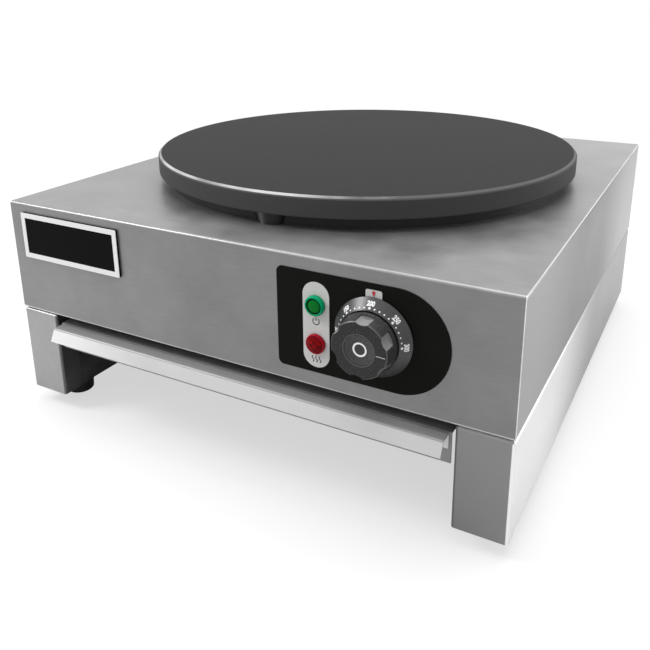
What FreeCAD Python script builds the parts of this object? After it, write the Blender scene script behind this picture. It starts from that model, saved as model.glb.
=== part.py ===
import FreeCAD, Part
import math
import os

os.makedirs("parts", exist_ok=True)

# Electric crepe maker with one round griddle, a front dial and a pull-out drip tray.
# Millimetres. X runs to the right, Y to the back, Z up, and Z = 0 is the table top.

# Body box and its sheet metal
body_width = 450.0
body_depth = 490.0
body_height = 100.0
sheet = 1.2
fold_radius = 1.0
casing_flange = 14.0
cover_top_flange = 12.0
cover_bottom_flange = 30.0
deck_seam = 0.5
panel_seam = 0.3

# Side legs and feet
leg_height = 80.0
leg_width = 40.0
leg_return = 20.0
leg_seam = 0.8
leg_top_flange = 12.0
foot_drop = 15.0
foot_top_radius = 13.5
foot_bottom_radius = 12.5
foot_rounding = 1.0
foot_from_end = 35.0
foot_head_depth = 8.0

# Drip tray, its rails and its handle
tray_headroom = 8.0
tray_depth = 24.0
tray_length = 430.0
tray_setback = 3.2
tray_side_gap = 3.0
tray_rim = 12.0
tray_front_flange = 9.5
tray_sheet = 1.0
tray_corner = 3.0
rail_overlap = 9.0
rail_drop = 12.0
rail_setback = 8.0
rail_end_gap = 24.0
handle_end_gap = 2.0
handle_below_rim = 0.5
handle_back_height = 12.0
handle_reach = 10.9
handle_lip_reach = 5.3
handle_lip_drop = 10.5

# Griddle plate, its supports and the guard ring
plate_overhang = 10.0
plate_thickness = 17.5
plate_gap = 10.0
plate_shift = -3.0
plate_turn = 3.0
plate_chamfer = 2.5
plate_rounding = 1.0
boss_top_radius = 15.6
boss_bottom_radius = 13.4
boss_inset = 1.4
rear_boss_angle = 40.0
ring_past_opening = 31.0
ring_wall = 2.0
ring_foot_height = 1.5
ring_foot_gap = 0.7
stud_radius = 4.0
stud_depth = 9.0

# Heater below the plate
deck_opening_radius = 159.0
pan_side_gap = 1.5
pan_lip_width = 3.0
pan_depth = 26.0
insulation_thickness = 13.0
element_tube_radius = 4.0
element_inner_radius = 50.0
element_pitch = 30.0
element_half_turns = 7
element_tail = 38.0
insulator_radius = 7.0
insulator_height = 6.0
clamp_length = 300.0
clamp_width = 20.0
clamp_thickness = 3.0
clamp_stud_radius = 3.0
clamp_stud_depth = 8.0
bulb_radius = 3.0
bulb_length = 56.0
bulb_from_centre = 22.0
bulb_left_end = -34.0
capillary_radius = 1.0
capillary_bend = 6.0
cutout_radius = 8.0
cutout_height = 9.0
cutout_from_centre = 70.0

# Control panel on the front, measured from the body's right side and bottom edge
dial_from_side = 99.7
dial_height = 51.0
overlay_thickness = 0.6
overlay_height = 76.9
overlay_left_of_dial = 76.3
overlay_end_from_dial = 16.6
overlay_corner = 4.5
label_thickness = 0.3
label_width = 21.1
label_height = 65.3
label_drop = 1.3
label_corner = 10.4
lamp_from_dial = 44.3
power_lamp_rise = 14.2
heat_lamp_drop = 15.3
lens_radius = 7.5
lens_height = 4.1
lens_wall_height = 1.9
lens_stem_radius = 4.8
holder_radius = 7.0
holder_length = 24.0
blade_width = 3.0
blade_thickness = 0.8
blade_length = 8.0
blade_from_centre = 3.0
tab_width = 12.1
tab_low = 26.0
tab_high = 34.0
tab_corner = 1.5
mark_radius = 1.2
mark_length = 4.0

# Dial
skirt_radius = 29.2
skirt_standoff = 1.3
skirt_edge = 0.7
skirt_inner_radius = 22.4
skirt_wall = 1.2
skirt_well = 2.2
knob_reach = 23.4
knob_base_radius = 20.6
knob_base_height = 3.0
knob_waist_radius = 21.6
knob_waist_rise = 0.7
knob_face_radius = 20.5
knob_face_rounding = 0.6
dish_radius = 11.4
dish_depth = 2.2
scoop_count = 6
scoop_first_angle = 5.0
scoop_radius = 8.0
scoop_depth = 2.1
scoop_length = 10.3
pointer_angle = 93.0
pointer_inner_radius = 12.3
pointer_outer_radius = 19.4
pointer_width = 1.0
pointer_raise = 0.4
cap_radius = 5.1
cap_thickness = 1.5
cap_below_face = 1.6
cap_well_radius = 3.9
cap_well_depth = 0.3
spindle_radius = 3.0
spindle_reach = 17.0
spindle_depth = 14.0
spindle_flat = 0.8

# Thermostat behind the front panel
thermostat_width = 44.0
thermostat_height = 34.0
thermostat_depth = 36.0
bushing_radius = 5.0
thermostat_screw_pitch = 28.0
thermostat_screw_depth = 8.0
thermostat_corner = 2.0

# Nameplate, left bare
nameplate_width = 109.3
nameplate_height = 40.4
nameplate_from_left = 14.3
nameplate_from_top = 8.0
nameplate_thickness = 1.8
nameplate_border = 4.3
nameplate_border_raise = 0.4
nameplate_corner = 0.8
nameplate_field_corner = 0.5

# Electrical parts at the rear
gland_from_side = 75.0
gland_height = 30.0
gland_reach = 11.4
gland_collar_radius = 12.0
gland_collar_length = 5.0
gland_thread_radius = 9.5
gland_bore_radius = 4.5
gland_inside = 14.0
locknut_radius = 12.5
locknut_height = 4.5
terminal_width = 50.0
terminal_depth = 22.0
terminal_height = 20.0
terminal_from_rear = 62.0
terminal_poles = 3
terminal_pole_radius = 3.0
terminal_pole_depth = 5.0
earth_from_gland = 55.0
earth_from_rear = 40.0
earth_radius = 2.5
earth_length = 20.0
wire_radius = 1.4
wire_bend = 9.0

# Base plate and fasteners
vent_length = 60.0
vent_width = 6.0
vent_pitch = 16.0
vent_count = 9
screw_radius = 2.0
screw_head_radius = 3.8
screw_head_height = 2.2
nut_radius = 4.0
nut_height = 3.0
rivet_radius = 1.6
rivet_head_radius = 3.0
rivet_head_height = 1.0
foot_screw_radius = 2.5
foot_screw_head_radius = 5.0
screw_end = 1.5
leg_screw_inset = 60.0
leg_screw_count = 4
base_screw_inset = 50.0
base_screw_count = 3
rail_rivet_count = 3
rail_rivet_inset = 40.0
rail_rivet_drop = 7.2
handle_rivet_count = 4
handle_rivet_inset = 20.0

# Clearances: assembled pieces, the turning spindle and the sliding tray
fit_gap = 0.1
running_gap = 0.05
slide_gap = 0.4
through = 2.0

# Levels and edges that follow from the sizes above
front_reach = knob_reach + pointer_raise
front_y = (front_reach - gland_reach - body_depth) / 2
rear_y = front_y + body_depth
side_x = body_width / 2
leg_bottom_z = foot_drop
body_bottom_z = foot_drop + leg_height
deck_z = body_bottom_z + body_height
leg_top_z = body_bottom_z - leg_seam
leg_inner_x = side_x - leg_width
base_top_z = body_bottom_z + 2 * sheet
plate_y = front_y + body_depth / 2 + plate_shift
plate_bottom_z = deck_z + plate_gap
plate_top_z = plate_bottom_z + plate_thickness
ring_radius = deck_opening_radius + ring_past_opening
plate_radius = ring_radius + plate_overhang
boss_circle = plate_radius - boss_top_radius - boss_inset
pan_radius = deck_opening_radius - pan_side_gap
pan_bottom_z = deck_z + sheet - pan_depth
dial_x = side_x - dial_from_side
dial_z = body_bottom_z + dial_height
lamp_x = dial_x - lamp_from_dial
overlay_left = dial_x - overlay_left_of_dial
overlay_end_x = dial_x + overlay_end_from_dial
label_front = overlay_thickness + label_thickness
rim_z = body_bottom_z - tray_headroom
tray_half_width = leg_inner_x - tray_side_gap
tray_wall_x = tray_half_width - tray_rim
handle_half_width = tray_half_width - handle_end_gap
tray_front_y = front_y + tray_setback
tray_bottom_z = rim_z - tray_depth
rail_top_z = rim_z - tray_sheet - slide_gap
foot_x = side_x - leg_width / 2
leg_screw_x = side_x - leg_width / 2
gland_x = gland_from_side - side_x
gland_z = body_bottom_z + gland_height
earth_x = gland_x + earth_from_gland
clamp_top_z = plate_bottom_z - 2 * element_tube_radius
skirt_front = skirt_standoff + skirt_edge + skirt_radius - skirt_inner_radius
skirt_floor = skirt_front - skirt_well


def vec(x, y, z):
    return FreeCAD.Vector(x, y, z)


def block(x0, x1, y0, y1, z0, z1):
    return Part.makeBox(x1 - x0, y1 - y0, z1 - z0, vec(x0, y0, z0))


def rod(radius, start, end):
    along = end - start
    return Part.makeCylinder(radius, along.Length, start, along)


def mirrored(shape):
    return shape.mirror(vec(0, 0, 0), vec(1, 0, 0))


def spread(first, last, count):
    step = (last - first) / (count - 1)
    return [first + step * i for i in range(count)]


def turned(profile):
    # A closed outline of (radius, height) points, spun about the Z axis
    points = [vec(radius, 0, height) for radius, height in profile]
    face = Part.Face(Part.makePolygon(points + [points[0]]))
    return face.revolve(vec(0, 0, 0), vec(0, 0, 1), 360)


def tube(outer, inner, z0, z1):
    return rod(outer, vec(0, 0, z0), vec(0, 0, z1)).cut(rod(inner, vec(0, 0, z0), vec(0, 0, z1)))


def facing_front(shape, x, z):
    # Stands a shape built up the Z axis out from the front face
    shape.rotate(vec(0, 0, 0), vec(1, 0, 0), 90)
    shape.translate(vec(x, front_y, z))
    return shape


def facing_rear(shape, x, z):
    shape.rotate(vec(0, 0, 0), vec(1, 0, 0), -90)
    shape.translate(vec(x, rear_y, z))
    return shape


def hexagon(inner_radius, z0, z1):
    corner = inner_radius / math.cos(math.radians(30))
    points = [
        vec(corner * math.cos(math.radians(60 * i)), corner * math.sin(math.radians(60 * i)), z0)
        for i in range(7)
    ]
    return Part.Face(Part.makePolygon(points)).extrude(vec(0, 0, z1 - z0))


def nut(inner_radius, hole_radius, height):
    return hexagon(inner_radius, 0, height).cut(rod(hole_radius, vec(0, 0, 0), vec(0, 0, height)))


def screw(shank_radius, head_radius, head_height, length):
    # Head below Z = 0, shank above it
    shank = rod(shank_radius, vec(0, 0, 0), vec(0, 0, length))
    head = rod(head_radius, vec(0, 0, -head_height), vec(0, 0, 0))
    rim = [edge for edge in head.Edges if edge.BoundBox.ZMax < -head_height / 2]
    return shank.fuse(head.makeFillet(head_height / 3, rim))


def copies(shape, places):
    out = []
    for place in places:
        piece = shape.copy()
        piece.translate(place)
        out.append(piece)
    return Part.makeCompound(out)


def drilled(shape, radius, starts, along):
    for start in starts:
        shape = shape.cut(rod(radius, start, start + along))
    return shape


def bent_sheet(points, thickness, place, sweep):
    # The points follow one face of a folded strip, with the metal on their left.
    # Every fold has the same inside radius.
    flat = [vec(u, v, 0) for u, v in points]
    runs = [(b - a).normalize() for a, b in zip(flat, flat[1:])]
    lefts = [vec(-run.y, run.x, 0) for run in runs]
    near, far = [], []
    start = flat[0]
    for i in range(1, len(flat) - 1):
        before, after = runs[i - 1], runs[i]
        turn = before.x * after.y - before.y * after.x
        half_angle = math.acos(max(-1.0, min(1.0, before.dot(after)))) / 2
        near_radius = fold_radius + (thickness if turn > 0 else 0)
        far_radius = fold_radius + (0 if turn > 0 else thickness)
        setback = near_radius * math.tan(half_angle)
        a = flat[i] - before * setback
        b = flat[i] + after * setback
        centre = a + lefts[i - 1] * (near_radius if turn > 0 else -near_radius)
        outward = (flat[i] - centre).normalize()
        near.append((start, a))
        near.append((a, centre + outward * near_radius, b))
        far.append((start + lefts[i - 1] * thickness, a + lefts[i - 1] * thickness))
        far.append((a + lefts[i - 1] * thickness, centre + outward * far_radius, b + lefts[i] * thickness))
        start = b
    near.append((start, flat[-1]))
    far.append((start + lefts[-1] * thickness, flat[-1] + lefts[-1] * thickness))
    ends = [(near[0][0], far[0][0]), (near[-1][-1], far[-1][-1])]
    edges = []
    for ends_or_arc in near + far + ends:
        spots = [place(p.x, p.y) for p in ends_or_arc]
        curve = Part.LineSegment(*spots) if len(spots) == 2 else Part.Arc(*spots)
        edges.append(curve.toShape())
    return Part.Face(Part.Wire(Part.__sortEdges__(edges))).extrude(sweep)


def bent_tube(points, radius, bend):
    # Straight runs joined by tangent arcs of one radius
    runs = [(b - a).normalize() for a, b in zip(points, points[1:])]
    edges = []
    start = points[0]
    for i in range(1, len(points) - 1):
        half_angle = runs[i - 1].getAngle(runs[i]) / 2
        setback = bend * math.tan(half_angle)
        a = points[i] - runs[i - 1] * setback
        b = points[i] + runs[i] * setback
        inward = (runs[i] - runs[i - 1]).normalize()
        middle = points[i] + inward * (bend / math.cos(half_angle) - bend)
        edges.append(Part.LineSegment(start, a).toShape())
        edges.append(Part.Arc(a, middle, b).toShape())
        start = b
    edges.append(Part.LineSegment(start, points[-1]).toShape())
    ring = Part.Wire(Part.makeCircle(radius, points[0], runs[0]))
    return Part.Wire(edges).makePipeShell([ring], True, False)


def save(name, shape):
    if shape.Volume < 0:
        shape.reverse()
    shape.exportStep("parts/" + name + ".step")


# Places that several pieces share

def boss_places(z):
    angles = [-90, 90 - rear_boss_angle, 90 + rear_boss_angle]
    out = []
    for angle in angles:
        turn = math.radians(angle + plate_turn)
        out.append(vec(boss_circle * math.cos(turn), plate_y + boss_circle * math.sin(turn), z))
    return out


def leg_screw_places(z):
    rows = spread(front_y + leg_screw_inset, rear_y - leg_screw_inset, leg_screw_count)
    return [vec(side * leg_screw_x, y, z) for side in (-1, 1) for y in rows]


def base_screw_places(z):
    columns = spread(-leg_inner_x + base_screw_inset, leg_inner_x - base_screw_inset, base_screw_count)
    middle = casing_flange / 2 + sheet
    return [vec(x, y, z) for y in (front_y + middle, rear_y - middle) for x in columns]


def foot_places(z):
    ends = (front_y + foot_from_end, rear_y - foot_from_end)
    return [vec(side * foot_x, y, z) for y in ends for side in (-1, 1)]


def lamp_places():
    return [(lamp_x, dial_z + power_lamp_rise), (lamp_x, dial_z - heat_lamp_drop)]


def thermostat_screw_places():
    half = thermostat_screw_pitch / 2
    return [(dial_x - half, dial_z), (dial_x + half, dial_z)]


def element_ends():
    # Where the two tails of the spiral tube turn down, and the arcs between them
    turn = math.radians(45)
    outer = element_inner_radius + element_pitch / 2 * (element_half_turns - 1)
    shift = element_pitch / 4
    last = outer + shift
    if element_half_turns % 2 == 1:
        last = -last
    first = element_inner_radius - shift
    return [
        vec(reach * math.cos(turn), plate_y + reach * math.sin(turn), 0) for reach in (first, last)
    ]


# Body

def cover_corners():
    # Room at each end of the casing's lower flanges for the side covers' walls
    inner_x = side_x - sheet - fold_radius - panel_seam
    top = body_bottom_z + sheet + fold_radius + panel_seam
    pieces = []
    for x0, x1 in ((-side_x - 1, -inner_x), (inner_x, side_x + 1)):
        pieces.append(block(x0, x1, front_y + sheet, front_y + casing_flange + 1, body_bottom_z - 1, top))
        pieces.append(block(x0, x1, rear_y - casing_flange - 1, rear_y - sheet, body_bottom_z - 1, top))
    return pieces


def top_casing():
    points = [
        (rear_y - casing_flange, body_bottom_z),
        (rear_y, body_bottom_z),
        (rear_y, deck_z),
        (front_y, deck_z),
        (front_y, body_bottom_z),
        (front_y + casing_flange, body_bottom_z),
    ]
    shape = bent_sheet(points, sheet, lambda y, z: vec(-side_x, y, z), vec(body_width, 0, 0))
    shape = shape.cut(
        rod(deck_opening_radius, vec(0, plate_y, deck_z - through), vec(0, plate_y, deck_z + through))
    )
    shape = drilled(shape, stud_radius + fit_gap, boss_places(deck_z - through), vec(0, 0, 2 * through))
    for cutter in cover_corners():
        shape = shape.cut(cutter)
    low = body_bottom_z - through
    shape = drilled(shape, screw_radius + fit_gap, base_screw_places(low), vec(0, 0, 2 * through))
    front_holes = [(bushing_radius + fit_gap, [(dial_x, dial_z)])]
    front_holes.append((lens_stem_radius + fit_gap, lamp_places()))
    front_holes.append((screw_radius + fit_gap, thermostat_screw_places()))
    for radius, spots in front_holes:
        starts = [vec(x, front_y - through, z) for x, z in spots]
        shape = drilled(shape, radius, starts, vec(0, 2 * through, 0))
    gland_hole = vec(gland_x, rear_y - through, gland_z)
    return drilled(shape, gland_thread_radius + fit_gap, [gland_hole], vec(0, 2 * through, 0))


def right_side_cover():
    top = deck_z - sheet - deck_seam
    points = [
        (side_x - cover_bottom_flange, body_bottom_z),
        (side_x, body_bottom_z),
        (side_x, top),
        (side_x - cover_top_flange, top),
    ]
    first = front_y + sheet + panel_seam
    length = body_depth - 2 * (sheet + panel_seam)
    shape = bent_sheet(points, sheet, lambda x, z: vec(x, first, z), vec(0, length, 0))
    corner = casing_flange + panel_seam
    notch = sheet + fold_radius + panel_seam
    for y in (front_y, rear_y - corner):
        low = body_bottom_z - 1
        shape = shape.cut(block(0, side_x - notch, y, y + corner, low, body_bottom_z + notch))
    for y in (front_y, rear_y - notch):
        shape = shape.cut(block(0, side_x + 1, y, y + notch, deck_z - notch, deck_z))
    low = body_bottom_z - through
    return drilled(shape, screw_radius + fit_gap, leg_screw_places(low), vec(0, 0, 2 * through))


def base_plate():
    half_x = side_x - sheet - panel_seam
    y0 = front_y + sheet + panel_seam
    y1 = rear_y - sheet - panel_seam
    corner = fold_radius + panel_seam
    shape = block(-half_x + corner, half_x - corner, y0 + corner, y1 - corner, base_top_z - sheet, base_top_z)
    low = base_top_z - through
    for places in (leg_screw_places(low), base_screw_places(low)):
        shape = drilled(shape, screw_radius + fit_gap, places, vec(0, 0, 2 * through))
    earth = vec(earth_x, rear_y - earth_from_rear, low)
    shape = drilled(shape, earth_radius + fit_gap, [earth], vec(0, 0, 2 * through))
    half_row = vent_pitch * (vent_count - 1) / 2
    half_width = vent_width / 2
    ends = [plate_y - vent_length / 2, plate_y + vent_length / 2]
    for x in spread(-half_row, half_row, vent_count):
        slot = block(x - half_width, x + half_width, *ends, low, deck_z)
        for y in ends:
            slot = slot.fuse(rod(half_width, vec(x, y, low), vec(x, y, deck_z)))
        shape = shape.cut(slot)
    return shape


# Legs

def leg_box(inset):
    # One leg's outer form, or its inner form when it is drawn in by the sheet
    radius = fold_radius + sheet - inset
    x0, x1 = leg_inner_x + inset, side_x - inset
    y0, y1 = front_y + inset, rear_y - inset
    z0, z1 = leg_bottom_z - inset, leg_top_z - inset
    shape = block(x0, x1, y0, y1, z0, z1)
    folds = []
    for edge in shape.Edges:
        box = edge.BoundBox
        upright = box.ZLength > box.XLength + box.YLength
        top = box.ZMin > z1 - 1 and box.XMax > x1 - 1
        if upright or top:
            folds.append(edge)
    return shape.makeFillet(radius, folds)


def right_leg():
    shape = leg_box(0).cut(leg_box(sheet))
    window = block(
        leg_inner_x - 1,
        leg_inner_x + sheet + fold_radius,
        front_y + leg_return,
        rear_y - leg_return,
        leg_bottom_z - 1,
        leg_top_z - sheet,
    )
    shape = shape.cut(window)
    starts = [spot for spot in leg_screw_places(leg_top_z - through) if spot.x > 0]
    return drilled(shape, screw_radius + fit_gap, starts, vec(0, 0, 2 * through))


def right_leg_inner_plate():
    top = leg_top_z - sheet
    points = [
        (leg_inner_x + leg_top_flange, top),
        (leg_inner_x, top),
        (leg_inner_x, leg_bottom_z),
        (side_x - sheet - panel_seam, leg_bottom_z),
    ]
    first = front_y + leg_return + panel_seam
    length = body_depth - 2 * (leg_return + panel_seam)
    shape = bent_sheet(points, sheet, lambda x, z: vec(x, first, z), vec(0, length, 0))
    starts = [spot for spot in foot_places(leg_bottom_z - through) if spot.x > 0]
    shape = drilled(shape, foot_screw_radius + fit_gap, starts, vec(0, 0, 2 * through))
    starts = [spot - vec(through, 0, 0) for spot in rail_rivet_places()]
    return drilled(shape, rivet_radius + fit_gap, starts, vec(2 * through, 0, 0))


def foot():
    profile = [
        (foot_screw_radius + fit_gap, foot_head_depth),
        (foot_screw_head_radius + 1, foot_head_depth),
        (foot_screw_head_radius + 1, 0),
        (foot_bottom_radius - foot_rounding, 0),
        (foot_bottom_radius, foot_rounding),
        (foot_top_radius, foot_drop),
        (foot_screw_radius + fit_gap, foot_drop),
    ]
    return turned(profile)


def foot_screws():
    length = foot_drop - foot_head_depth + sheet + nut_height + screw_end
    shape = screw(foot_screw_radius, foot_screw_head_radius, nut_height, length)
    return copies(shape, foot_places(foot_head_depth))


def foot_nuts():
    shape = nut(nut_radius + 1, foot_screw_radius + fit_gap, nut_height)
    return copies(shape, foot_places(leg_bottom_z + sheet))


def leg_washers():
    shape = tube(screw_head_radius + 1, screw_radius + fit_gap, 0, leg_seam)
    return copies(shape, leg_screw_places(leg_top_z))


def leg_screws():
    length = sheet + leg_seam + 2 * sheet + nut_height + screw_end
    shape = screw(screw_radius, screw_head_radius, screw_head_height, length)
    return copies(shape, leg_screw_places(leg_top_z - sheet))


def leg_nuts():
    return copies(nut(nut_radius, screw_radius + fit_gap, nut_height), leg_screw_places(base_top_z))


def base_screws():
    # Each screw and its nut clamp the base plate to the casing's front or rear flange
    length = 2 * sheet + nut_height + screw_end
    shape = screw(screw_radius, screw_head_radius, screw_head_height, length)
    screws = copies(shape, base_screw_places(body_bottom_z))
    nuts = copies(nut(nut_radius, screw_radius + fit_gap, nut_height), base_screw_places(base_top_z))
    return Part.makeCompound([screws, nuts])


# Drip tray

def right_tray_rail():
    points = [
        (leg_inner_x, rail_top_z - rail_drop),
        (leg_inner_x, rail_top_z),
        (tray_half_width - rail_overlap, rail_top_z),
    ]
    first = front_y + leg_return + panel_seam - rail_setback
    length = rear_y - rail_end_gap - first
    shape = bent_sheet(points, sheet, lambda x, z: vec(x, first, z), vec(0, length, 0))
    starts = [spot - vec(through, 0, 0) for spot in rail_rivet_places()]
    return drilled(shape, rivet_radius + fit_gap, starts, vec(2 * through, 0, 0))


def rail_rivet_places():
    # On the face between the right rail and the right leg's inner plate
    inset = leg_return + rail_rivet_inset
    rows = spread(front_y + inset, rear_y - inset, rail_rivet_count)
    return [vec(leg_inner_x, y, rail_top_z - rail_rivet_drop) for y in rows]


def rail_rivets():
    pieces = []
    for spot in rail_rivet_places():
        grip = vec(sheet, 0, 0)
        head = vec(rivet_head_height, 0, 0)
        shape = rod(rivet_radius, spot - grip, spot + grip)
        shape = shape.fuse(rod(rivet_head_radius, spot - grip - head, spot - grip))
        shape = shape.fuse(rod(rivet_head_radius, spot + grip, spot + grip + head))
        pieces += [shape, mirrored(shape)]
    return Part.makeCompound(pieces)


def tray_pan():
    y0, y1 = tray_front_y, tray_front_y + tray_length
    outer = block(-tray_wall_x, tray_wall_x, y0, y1, tray_bottom_z, rim_z)
    low = [edge for edge in outer.Edges if edge.BoundBox.ZMax < tray_bottom_z + 1]
    low = [edge for edge in low if edge.BoundBox.YMax > y0 + 1]
    outer = outer.makeFillet(tray_corner, low)
    t = tray_sheet
    inner = block(-tray_wall_x + t, tray_wall_x - t, y0 + t, y1 - t, tray_bottom_z + t, rim_z + 1)
    low = [edge for edge in inner.Edges if edge.BoundBox.ZMax < tray_bottom_z + t + 1]
    shape = outer.cut(inner.makeFillet(tray_corner - t, low))
    front_wall = block(-tray_half_width, tray_half_width, y0, y0 + t, tray_bottom_z, rim_z)
    rim = block(-tray_half_width, tray_half_width, y0, y1 + tray_rim, rim_z - t, rim_z)
    mouth = block(-tray_wall_x + t, tray_wall_x - t, y0 + tray_front_flange, y1 - t, rim_z - 2 * t, rim_z + t)
    shape = shape.fuse([front_wall, rim.cut(mouth)]).removeSplitter()
    starts = [spot - vec(0, through, 0) for spot in handle_rivet_places()]
    return drilled(shape, rivet_radius + fit_gap, starts, vec(0, 2 * through, 0))


def tray_handle():
    top = rim_z - handle_below_rim
    points = [
        (tray_front_y, top - handle_back_height),
        (tray_front_y, top),
        (tray_front_y - handle_reach, top),
        (tray_front_y - handle_reach - handle_lip_reach, top - handle_lip_drop),
    ]
    width = vec(2 * handle_half_width, 0, 0)
    shape = bent_sheet(points, tray_sheet, lambda y, z: vec(-handle_half_width, y, z), width)
    starts = [spot - vec(0, through, 0) for spot in handle_rivet_places()]
    return drilled(shape, rivet_radius + fit_gap, starts, vec(0, 2 * through, 0))


def handle_rivet_places():
    half = tray_wall_x - handle_rivet_inset
    z = rim_z - handle_below_rim - handle_back_height * 0.7
    return [vec(x, tray_front_y, z) for x in spread(-half, half, handle_rivet_count)]


def handle_rivets():
    pieces = []
    for spot in handle_rivet_places():
        grip = vec(0, tray_sheet, 0)
        head = vec(0, rivet_head_height, 0)
        shape = rod(rivet_radius, spot - grip, spot + grip)
        shape = shape.fuse(rod(rivet_head_radius, spot - grip - head, spot - grip))
        shape = shape.fuse(rod(rivet_head_radius, spot + grip, spot + grip + head))
        pieces.append(shape)
    return Part.makeCompound(pieces)


# Griddle

def griddle_plate():
    shape = Part.makeCylinder(plate_radius, plate_thickness, vec(0, plate_y, plate_bottom_z))
    top = [edge for edge in shape.Edges if edge.BoundBox.ZMin > plate_top_z - 1]
    shape = shape.makeChamfer(plate_chamfer, top)
    bottom = [edge for edge in shape.Edges if edge.BoundBox.ZMax < plate_bottom_z + 1]
    shape = shape.makeFillet(plate_rounding, bottom)
    up = vec(0, 0, stud_depth + fit_gap)
    shape = drilled(shape, stud_radius + fit_gap, boss_places(plate_bottom_z), up)
    centre = vec(0, plate_y, plate_bottom_z)
    return drilled(shape, clamp_stud_radius + fit_gap, [centre], vec(0, 0, clamp_stud_depth + fit_gap))


def boss(grow):
    return Part.makeCone(boss_bottom_radius + grow, boss_top_radius + grow, plate_gap)


def plate_bosses():
    hole = rod(stud_radius + fit_gap, vec(0, 0, 0), vec(0, 0, plate_gap))
    return copies(boss(0).cut(hole), boss_places(deck_z))


def plate_studs():
    low = -sheet - nut_height - 2 * screw_end
    shape = rod(stud_radius, vec(0, 0, low), vec(0, 0, plate_gap + stud_depth))
    return copies(shape, boss_places(deck_z))


def plate_nuts():
    shape = nut(stud_radius * 1.6, stud_radius + fit_gap, nut_height)
    return copies(shape, boss_places(deck_z - sheet - nut_height))


def heat_guard_ring():
    wall = tube(ring_radius, ring_radius - ring_wall, 0, plate_gap)
    foot_ring = tube(ring_radius, pan_radius + pan_lip_width + ring_foot_gap, 0, ring_foot_height)
    shape = wall.fuse(foot_ring).removeSplitter()
    shape.translate(vec(0, plate_y, deck_z))
    return shape.cut(copies(boss(panel_seam), boss_places(deck_z)))


def heater_pan():
    depth = pan_depth - sheet
    cup = tube(pan_radius, pan_radius - sheet, -depth, sheet)
    lip = tube(pan_radius + pan_lip_width, pan_radius - sheet, 0, sheet)
    floor = rod(pan_radius, vec(0, 0, -depth), vec(0, 0, -depth + sheet))
    shape = cup.fuse([lip, floor]).removeSplitter()
    shape.translate(vec(0, plate_y, deck_z))
    low = vec(0, 0, pan_bottom_z - through)
    up = vec(0, 0, sheet + 2 * through)
    shape = drilled(shape, element_tube_radius + fit_gap, [spot + low for spot in element_ends()], up)
    return drilled(shape, 2 * capillary_radius, [capillary_drop() + low], up)


def insulation_disc():
    z0 = pan_bottom_z + sheet
    radius = pan_radius - sheet - panel_seam
    shape = Part.makeCylinder(radius, insulation_thickness, vec(0, plate_y, z0))
    up = vec(0, 0, insulation_thickness)
    for spot in element_ends():
        shape = drilled(shape, element_tube_radius + fit_gap, [spot + vec(0, 0, z0)], up)
    return drilled(shape, 2 * capillary_radius, [capillary_drop() + vec(0, 0, z0)], up)


def heating_element():
    z = plate_bottom_z - element_tube_radius
    shape = None
    for i in range(element_half_turns):
        radius = element_inner_radius + element_pitch / 2 * i
        shift = element_pitch / 4 * (-1 if i % 2 == 0 else 1)
        half = Part.makeTorus(radius, element_tube_radius, vec(0, 0, 0), vec(0, 0, 1), 0, 360, 180)
        if i % 2 == 1:
            half.rotate(vec(0, 0, 0), vec(0, 0, 1), 180)
        half.translate(vec(shift, 0, 0))
        shape = half if shape is None else shape.fuse(half)
    shape.rotate(vec(0, 0, 0), vec(0, 0, 1), 45)
    shape.translate(vec(0, plate_y, z))
    for spot in element_ends():
        top = spot + vec(0, 0, z)
        tail = rod(element_tube_radius, top, top - vec(0, 0, element_tail))
        shape = shape.fuse([tail, Part.makeSphere(element_tube_radius, top)])
    return shape.removeSplitter()


def terminal_insulators():
    pieces = []
    for spot in element_ends():
        low = spot + vec(0, 0, pan_bottom_z - insulator_height)
        high = spot + vec(0, 0, pan_bottom_z)
        pieces.append(rod(insulator_radius, low, high).cut(rod(element_tube_radius + fit_gap, low, high)))
    return Part.makeCompound(pieces)


def element_clamp():
    half, side = clamp_length / 2, clamp_width / 2
    z0, z1 = clamp_top_z - clamp_thickness, clamp_top_z
    shape = block(-half, half, -side, side, z0, z1).fuse(block(-side, side, -half, half, z0, z1))
    shape.translate(vec(0, plate_y, 0))
    start = vec(0, plate_y, z0 - through)
    return drilled(shape.removeSplitter(), clamp_stud_radius + fit_gap, [start], vec(0, 0, 4 * through))


def clamp_stud():
    low = clamp_top_z - clamp_thickness - nut_height - screw_end
    return rod(clamp_stud_radius, vec(0, plate_y, low), vec(0, plate_y, plate_bottom_z + clamp_stud_depth))


def clamp_nut():
    shape = nut(nut_radius + 1, clamp_stud_radius + fit_gap, nut_height)
    return copies(shape, [vec(0, plate_y, clamp_top_z - clamp_thickness - nut_height)])


# Temperature sensing

def bulb_line():
    y = plate_y + bulb_from_centre
    z = plate_bottom_z - bulb_radius
    return vec(bulb_left_end, y, z), vec(bulb_left_end + bulb_length, y, z)


def capillary_drop():
    end = bulb_line()[1]
    return vec(end.x + capillary_bend, end.y, 0)


def sensor_bulb():
    start, end = bulb_line()
    return rod(bulb_radius, start, end)


def capillary_tube():
    end = bulb_line()[1]
    drop = capillary_drop()
    low = pan_bottom_z - 3 * capillary_bend
    back = front_y + sheet + thermostat_depth
    points = [
        end,
        vec(drop.x, drop.y, end.z),
        vec(drop.x, drop.y, low),
        vec(drop.x, back + 2 * capillary_bend, low),
        vec(dial_x, back + 2 * capillary_bend, low),
        vec(dial_x, back + 2 * capillary_bend, dial_z),
        vec(dial_x, back, dial_z),
    ]
    return bent_tube(points, capillary_radius, capillary_bend * 0.8)


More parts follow.
